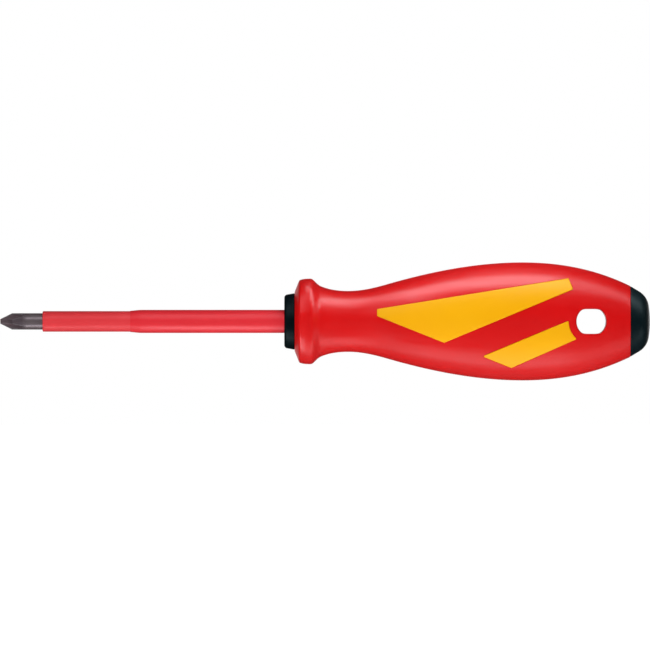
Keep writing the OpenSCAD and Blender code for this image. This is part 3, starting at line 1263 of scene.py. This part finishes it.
@dataclass
class EndCap(SubAssembly):
    """The black cap that closes the rear end."""

    handle: HandleForm
    end_x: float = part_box("end_cap")[1].x
    slope: float = 0.6
    round_r: float = 5.6 * MM
    round_steps: int = 16
    crown: float = 0.3 * MM
    crown_steps: int = 8
    last_deg: float = 86.0
    edge: float = 0.2 * MM
    edge_steps: int = 4
    plug_len: float = 4.4 * MM
    plug_r: float = 4.5 * MM
    bead_h: float = 0.4 * MM
    bead_len: float = 1.2 * MM
    segments: int = 144
    sharp_deg: float = 40.0

    def back(self) -> np.ndarray:
        """Gives the profile of the rounded rear end.

        Returns:
            Points (x, r), up to the axis.
        """
        first, last = math.atan(self.slope), math.radians(self.last_deg)
        start_x = self.end_x - self.crown - self.round_r * (math.sin(last) - math.sin(first))
        start_r = self.handle.cap_d / 2 - self.slope * (start_x - self.handle.cap_x)
        angle = np.linspace(first, last, self.round_steps + 1)
        x = start_x + self.round_r * (np.sin(angle) - math.sin(first))
        r = start_r - self.round_r * (math.cos(first) - np.cos(angle))
        share = np.linspace(1.0, 0.0, self.crown_steps + 1)[1:]
        crown_x = self.end_x - (self.end_x - x[-1]) * share**2
        return np.column_stack([np.append(x, crown_x), np.append(r, r[-1] * share)])

    def build(self) -> None:
        """Builds the cap with its snap plug."""
        cap_x, cap_r = self.handle.cap_x, self.handle.cap_d / 2
        plug_x = cap_x - self.plug_len
        back = self.back()
        corners = [
            (plug_x, 0.0),
            (plug_x, self.plug_r),
            (plug_x + self.bead_len / 4, self.plug_r),
            (plug_x + self.bead_len * 3 / 4, self.plug_r + self.bead_h),
            (plug_x + self.bead_len * 5 / 4, self.plug_r),
            (cap_x, self.plug_r),
            (cap_x, cap_r),
            tuple(back[0]),
        ]
        profile = soften(corners, [0.0] * 6 + [self.edge, 0.0], self.edge_steps)
        draft = Draft.turned(np.concatenate([profile, back[1:]]), self.segments, False)
        self.place(draft.mesh("end_cap_piece", self.sharp_deg), "end_cap", Slot.BLACK)

    def dress(self) -> None:
        """Gives the cap its finish."""
        self.paint(CAP_PLASTIC, self.pieces)


@dataclass
class InsulatedBlade(SubAssembly):
    """The steel bar with its fluted point, and the two layers of its sleeve."""

    seat: SeatForm
    tip_x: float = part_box("blade")[0].x
    tang_x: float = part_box("blade")[1].x
    sleeve_x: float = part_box("inner_insulation")[0].x
    inner_end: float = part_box("inner_insulation")[1].x
    outer_x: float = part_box("outer_insulation")[0].x
    anchor_end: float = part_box("outer_insulation")[1].x
    bar_r: float = 2.3 * MM
    bar_sharp_deg: float = 24.0
    point_r: float = 0.635 * MM
    point_deg: float = 26.5
    point_steps: int = 16
    flutes: int = 4
    flute_len: float = 6.9 * MM
    flute_deg: float = 92.0
    flute_core: float = 0.58 * MM
    flute_root: float = 0.10 * MM
    flute_rows: int = 24
    flute_steps: int = 12
    settle_len: float = 1.5 * MM
    settle_start: float = 0.4
    settle_least: float = 0.15
    wing_pairs: int = 2
    wing_span: float = 7.0 * MM
    wing_t: float = 1.8 * MM
    wing_len: float = 9.0 * MM
    wing_slope: float = 2.0 * MM
    wing_setback: float = 6.0 * MM
    wing_pitch: float = 16.0 * MM
    inner_r: float = 2.9 * MM
    ramp_len: float = 2.7 * MM
    ramp_step: float = 0.08 * MM
    ramp_edges: Pair = (0.05 * MM, 0.6 * MM)
    sleeve_edge: float = 0.35 * MM
    edge_steps: int = 6
    worn_edge: float = 0.04 * MM
    worn_steps: int = 2
    worn_deg: float = 28.0
    worn_atol: float = 1e-4
    worn_digits: int = 8
    segments: int = 96
    sharp_deg: float = 35.0

    @property
    def sector(self) -> float:
        """The angle that one flute and the wing beside it take up."""
        return 2 * np.pi / self.flutes

    def flute_floor(self, x: float, aside: np.ndarray | float) -> np.ndarray | float:
        """Gives how high over the axis the grinding wheel leaves a flute's floor.

        Args:
            x: place along the axis.
            aside: distance from the flute's middle plane.

        Returns:
            The height.
        """
        lift = self.bar_r - self.flute_core
        wheel = (self.flute_len**2 + lift**2) / (2 * lift)
        fall = math.tan(math.radians(self.flute_deg) / 2)
        across = np.hypot(aside, self.flute_root) - self.flute_root
        reach = (wheel - across / fall) ** 2 - (x - self.tip_x) ** 2
        return self.flute_core + wheel - np.sqrt(np.maximum(reach, 0.0))

    def flute_r(self, x: float, angle: np.ndarray) -> np.ndarray:
        """Gives the radius that the wheel leaves.

        Args:
            x: place along the axis.
            angle: angles from a flute's middle plane.

        Returns:
            The radius at each angle.
        """
        low, high = np.zeros_like(angle), np.full_like(angle, 2 * self.bar_r)
        across, up = np.sin(angle), np.cos(angle)
        return halved(low, high, lambda r: r * up < self.flute_floor(x, r * across))

    def edge_angle(self, x: float, r: float) -> float:
        """Gives the angle from a flute's middle plane to its edge, 0 where there is no flute."""
        most = self.sector / 2
        return float(halved(0.0, most, lambda a: r * np.cos(a) > self.flute_floor(x, r * np.sin(a))))

    def section(self, x: float) -> tuple[np.ndarray, np.ndarray]:
        """Gives one cross-section of the point.

        Args:
            x: place along the axis.

        Returns:
            The section's points, and how worn each of them is.
        """
        round_r = min(self.bar_r, self.point_r + (x - self.tip_x) * math.tan(math.radians(self.point_deg)))
        sector, edge = self.sector, self.edge_angle(x, round_r)
        past = (x - self.tip_x - self.flute_len) / self.settle_len + self.settle_start
        half = max(edge, sector / 4 * np.clip(past, self.settle_least, 1.0))
        flute = np.linspace(-half, half, self.flute_steps + 1)[:-1]
        wing = np.linspace(half, sector - half, self.flute_steps + 1)[:-1]
        angles = np.concatenate([flute, wing])
        from_flute = np.where(angles > sector / 2, sector - angles, np.abs(angles))
        radii = np.tile(np.minimum(self.flute_r(x, from_flute), round_r), self.flutes)
        worn = np.isclose(from_flute, edge, atol=self.worn_atol) * 1.0
        turns = np.concatenate([angles + sector * (i + 0.5) for i in range(self.flutes)])
        places = np.column_stack([np.full(len(turns), x), radii * np.cos(turns), radii * np.sin(turns)])
        return places, np.tile(worn, self.flutes)

    def build_bar(self) -> None:
        """Builds the bar with its point and the wings of its tang."""
        draft, wear, rows = Draft(), [], []
        cone = (self.bar_r - self.point_r) / math.tan(math.radians(self.point_deg))
        cone_x = np.linspace(0.0, cone, self.point_steps + 1)
        flute_x = np.linspace(cone, self.flute_len + self.settle_len, self.flute_rows + 1)[1:]
        for x in [*(self.tip_x + cone_x), *(self.tip_x + flute_x), self.sleeve_x, self.tang_x]:
            places, worn = self.section(x)
            rows.append(draft.row(places))
            wear.append(worn)
        for row, other in zip(rows, rows[1:]):
            draft.band(row, other)
        for row, x in ((rows[0], self.tip_x), (rows[-1], self.tang_x)):
            middle = draft.add(np.array([[x, 0.0, 0.0]]))
            draft.faces += [(int(a), int(b), middle) for a, b in zip(row, np.roll(row, -1))]
        rims = np.round(np.concatenate(draft.vertices[:len(rows)]), self.worn_digits)
        worn_by_place = dict(zip(map(tuple, rims), np.concatenate(wear)))
        self.add_wings(draft)
        mesh = draft.mesh("blade_bar", self.bar_sharp_deg)
        layer = mesh.attributes.new(STEEL.wear, "FLOAT", "POINT")
        made = np.round(np.array([vertex.co for vertex in mesh.vertices], float), self.worn_digits)
        layer.data.foreach_set("value", [worn_by_place.get(tuple(place), 0.0) for place in made])
        piece = self.place(mesh, "blade", Slot.STEEL)
        bevel = piece.modifiers.new("worn edges", "BEVEL")
        bevel.width, bevel.segments = self.worn_edge, self.worn_steps
        bevel.limit_method, bevel.angle_limit = "ANGLE", math.radians(self.worn_deg)

    def add_wings(self, draft: Draft) -> None:
        """Adds the pairs of wings that hold the tang in the core.

        Args:
            draft: the bar's draft.
        """
        half, low, high, slope = self.wing_t / 2, self.bar_r / 2, self.wing_span / 2, self.wing_slope
        for i in range(self.wing_pairs):
            x0 = self.tang_x - self.wing_setback - self.wing_len - i * self.wing_pitch
            x1 = x0 + self.wing_len
            upper = [(x1, low), (x1 - slope, high), (x0 + slope, high), (x0, low)]
            outline = [(x, -z) for x, z in upper[::-1]] + upper
            front, back = (draft.row(np.array([(x, y, z) for x, z in outline])) for y in (-half, half))
            draft.band(front, back)
            draft.faces += [tuple(map(int, front)), tuple(map(int, back[::-1]))]

    def build_sleeve(self) -> None:
        """Builds the inner and the outer layer of the sleeve."""
        seat = self.seat
        inner = [
            (self.sleeve_x, self.bar_r),
            (self.sleeve_x, self.inner_r),
            (self.inner_end, self.inner_r),
            (self.inner_end, self.bar_r),
        ]
        outer = [
            (self.outer_x, self.inner_r),
            (self.outer_x, self.inner_r + self.ramp_step),
            (self.outer_x + self.ramp_len, seat.sleeve_r),
            (0.0, seat.sleeve_r),
            (seat.flare, seat.anchor_r),
            (self.anchor_end, seat.anchor_r),
            (self.anchor_end, self.inner_r),
        ]
        layers = (
            ("sleeve_inner", "inner_insulation", inner, [0.0, self.sleeve_edge, 0.0, 0.0]),
            ("sleeve_outer", "outer_insulation", outer, [0.0, *self.ramp_edges, 0.0, 0.0, 0.0, 0.0]),
        )
        for name, node, corners, cuts in layers:
            draft = Draft.turned(soften(corners, cuts, self.edge_steps), self.segments, True)
            self.place(draft.mesh(name, self.sharp_deg), node, Slot.INSULATION)

    def build(self) -> None:
        """Builds the bar and its sleeve."""
        self.build_bar()
        self.build_sleeve()

    def dress(self) -> None:
        """Gives the bar and the two layers their finishes."""
        for finish, piece in zip((STEEL, INNER_SLEEVE, OUTER_SLEEVE), self.pieces):
            self.paint(finish, [piece])


# The studio


@dataclass(frozen=True)
class Softbox:
    """A soft lamp that faces the tool, hidden from the camera."""

    name: str
    place: Triple
    size: Pair
    radiance: float
    shine: Shine
    reach: float = 0.3

    def add(self) -> None:
        """Hangs the lamp so that it faces the nearest point of the tool's axis."""
        lamp = bpy.data.lights.new(self.name, "AREA")
        lamp.shape, lamp.size, lamp.size_y = "RECTANGLE", *self.size
        lamp.energy = self.radiance * math.pi * self.size[0] * self.size[1]
        box = bpy.data.objects.new(self.name, lamp)
        bpy.context.scene.collection.objects.link(box)
        box.location = self.place
        x, y, z = self.place
        away = Vector((x - min(max(x, -self.reach), self.reach), y, z)).normalized()
        along = (Vector((1.0, 0.0, 0.0)) - away.x * away).normalized()
        box.rotation_euler = Matrix((along, away.cross(along), away)).transposed().to_euler()
        box.visible_camera = False
        box.visible_diffuse, box.visible_glossy, lamp.color = self.shine.value


@dataclass
class Studio:
    """Pale floor, soft lamps, white surroundings and the camera."""

    frame_w: float = 183.1 * MM
    aim: Pair = (11.47 * MM, -1.01 * MM)
    distance: float = 8.0
    sensor: float = 36.0
    floor_z: float = -0.1
    floor_size: float = 40.0
    floor_tone: float = 0.92
    floor_lift: Pair = (0.45, 0.9)
    lift_span: Pair = (0.15, 0.7)
    ambient: float = 0.16
    room: float = 0.03
    back_span: Pair = (0.7, 0.95)
    horizon_span: Pair = (0.06, 0.2)
    lamps: tuple[Softbox, ...] = (
        Softbox("overhead front", (0.08, -0.034, 0.136), (0.13, 0.05), 3.5, Shine.COLOUR),
        Softbox("overhead back", (0.08, 0.034, 0.136), (0.13, 0.05), 3.5, Shine.COLOUR),
        Softbox("low panel", (0.03, 0.0, -0.085), (0.32, 0.08), 1.05, Shine.COLOUR),
        Softbox("low front", (0.076, -0.05, -0.085), (0.085, 0.04), 0.5, Shine.COLOUR),
        Softbox("low back", (0.076, 0.05, -0.085), (0.085, 0.04), 0.5, Shine.COLOUR),
        Softbox("front", (0.01, -1.5, 0.1), (0.15, 0.15), 196.0, Shine.COLOUR),
        Softbox("back", (0.01, 1.5, 0.1), (0.15, 0.15), 196.0, Shine.COLOUR),
        Softbox("ahead", (-1.5, 0.0, 0.1), (0.15, 0.15), 60.0, Shine.COLOUR),
        Softbox("grip strip", (0.048, -0.013, 0.045), (0.0755, 0.0205), 6.65, Shine.GLOSS),
        Softbox("waist strip", (0.019, -0.03, 0.045), (0.014, 0.016), 3.61, Shine.GLOSS),
        Softbox("flange strip", (0.0065, -0.003, 0.04), (0.006, 0.018), 3.61, Shine.GLOSS),
        Softbox("rear strip", (0.1975, -0.012, 0.078), (0.205, 0.036), 2.62, Shine.GLOSS),
        Softbox("low grip strip", (0.0505, -0.018, -0.08), (0.099, 0.045), 1.63, Shine.GLOSS),
        Softbox("low rear strip", (0.14, -0.014, -0.08), (0.08, 0.045), 0.456, Shine.GLOSS),
        Softbox("low cap strip", (0.25, -0.014, -0.08), (0.12, 0.045), 1.52, Shine.GLOSS),
        Softbox("sleeve strip", (-0.0235, -0.0395, 0.045), (0.047, 0.051), 1.9, Shine.GLOSS),
        Softbox("low sleeve strip", (-0.021, -0.0215, -0.0455), (0.038, 0.032), 4.1, Shine.GLOSS),
        Softbox("thin sleeve strip", (-0.0585, -0.068, 0.073), (0.023, 0.055), 0.912, Shine.GLOSS),
        Softbox("low thin sleeve strip", (-0.054, -0.046, -0.078), (0.028, 0.035), 2.09, Shine.GLOSS),
        Softbox("tip strip", (-0.076, -0.055, 0.055), (0.016, 0.026), 1.7, Shine.BARE_GLOSS),
        Softbox("low tip strip", (-0.076, -0.03, -0.08), (0.016, 0.035), 2.6, Shine.BARE_GLOSS),
    )

    def build(self) -> None:
        """Makes the whole studio."""
        bpy.context.scene.view_settings.view_transform = "Standard"
        self.add_floor()
        for lamp in self.lamps:
            lamp.add()
        self.add_world()
        self.add_camera()

    def add_floor(self) -> None:
        """Lays the floor under the tool."""
        half, z = self.floor_size / 2, self.floor_z
        corners = [(-half, -half, z), (half, -half, z), (half, half, z), (-half, half, z)]
        mesh = bpy.data.meshes.new("floor")
        mesh.from_pydata(corners, [], [(0, 1, 2, 3)])
        floor = bpy.data.objects.new("floor", mesh)
        bpy.context.scene.collection.objects.link(floor)
        mesh.materials.append(self.floor_material())
        floor.visible_glossy = False

    def floor_material(self) -> bpy.types.Material:
        """Makes the floor's material.

        Returns:
            The material, white to the camera with the tool's shadow kept, and clear from below.
        """
        board = FinishBoard("pale floor")
        far = board.vector("LENGTH", board.place).outputs["Value"]
        lift = board.between(far, self.lift_span, self.floor_lift)
        board.feed(board.shader, {
            "Base Color": (*(self.floor_tone,) * 3, 1.0),
            "Roughness": 1.0,
            "Specular IOR Level": 0.0,
            "Emission Color": (*WHITE, 1.0),
            "Emission Strength": board.math("MULTIPLY", lift, self.seen_directly(board)),
        })
        below = board.add("ShaderNodeNewGeometry").outputs["Backfacing"]
        clear = board.add("ShaderNodeBsdfTransparent").outputs[0]
        whole = board.mix(below, board.shader.outputs[0], clear, board.MIX_SHADER)
        board.feed(board.tree.nodes["Material Output"], {"Surface": whole})
        return board.material

    @staticmethod
    def seen_directly(board: NodeBoard) -> Socket:
        """Tells the rays that see a background from those that only carry its light.

        Args:
            board: the board that needs to know.

        Returns:
            1 for a ray of the camera, of a reflection or of a transmission, and 0 for others.
        """
        path = board.add("ShaderNodeLightPath")
        total = path.outputs["Is Camera Ray"]
        for name in ("Is Glossy Ray", "Is Transmission Ray"):
            total = board.math("MAXIMUM", total, path.outputs[name])
        return total

    def add_world(self) -> None:
        """Makes the surroundings: white to the camera, white behind in reflections, and even as light."""
        world = bpy.data.worlds.new("studio")
        bpy.context.scene.world = world
        world.use_nodes = True
        world.node_tree.nodes.clear()
        board = NodeBoard(world.node_tree)
        place = board.add("ShaderNodeTexCoord").outputs["Generated"]
        split = board.add("ShaderNodeSeparateXYZ", {0: place})
        steep = board.math("ABSOLUTE", split.outputs["Z"])
        level = board.between(steep, self.horizon_span, (1.0 - self.room, 0.0))
        behind = board.between(split.outputs["Y"], self.back_span)
        glow = board.math("MULTIPLY_ADD", level, behind, self.room)
        even, mirrored, plain = (
            board.add("ShaderNodeBackground", {"Color": (*WHITE, 1.0), "Strength": strength}).outputs[0]
            for strength in (self.ambient, glow, 1.0)
        )
        seen = board.mix(self.seen_directly(board), even, mirrored, board.MIX_SHADER)
        camera = board.add("ShaderNodeLightPath").outputs["Is Camera Ray"]
        whole = board.mix(camera, seen, plain, board.MIX_SHADER)
        board.add("ShaderNodeOutputWorld", {"Surface": whole})

    def add_camera(self) -> None:
        """Puts the camera square to the tool's side, framed as in the photograph."""
        data = bpy.data.cameras.new("camera")
        data.sensor_width = self.sensor
        data.lens = self.sensor * self.distance / self.frame_w
        camera = bpy.data.objects.new("camera", data)
        bpy.context.scene.collection.objects.link(camera)
        camera.location = (self.aim[0], -self.distance, self.aim[1])
        camera.rotation_euler = (math.pi / 2, 0.0, 0.0)
        bpy.context.scene.camera = camera


def main() -> None:
    """Builds and dresses the tool, then the studio."""
    logging.basicConfig(level=logging.INFO, format="%(name)s: %(message)s")
    seat, handle = SeatForm(), HandleForm()
    hole = HoleForm(handle)
    form = PanelForm(handle, hole)
    for part in (
        InsulatedBlade(seat),
        FrontCollar(seat),
        Grip(seat, handle, hole, form),
        Panels(handle, form),
        EndCap(handle),
    ):
        part.build()
        part.dress()
    Studio().build()


if __name__ == "__main__":
    main()
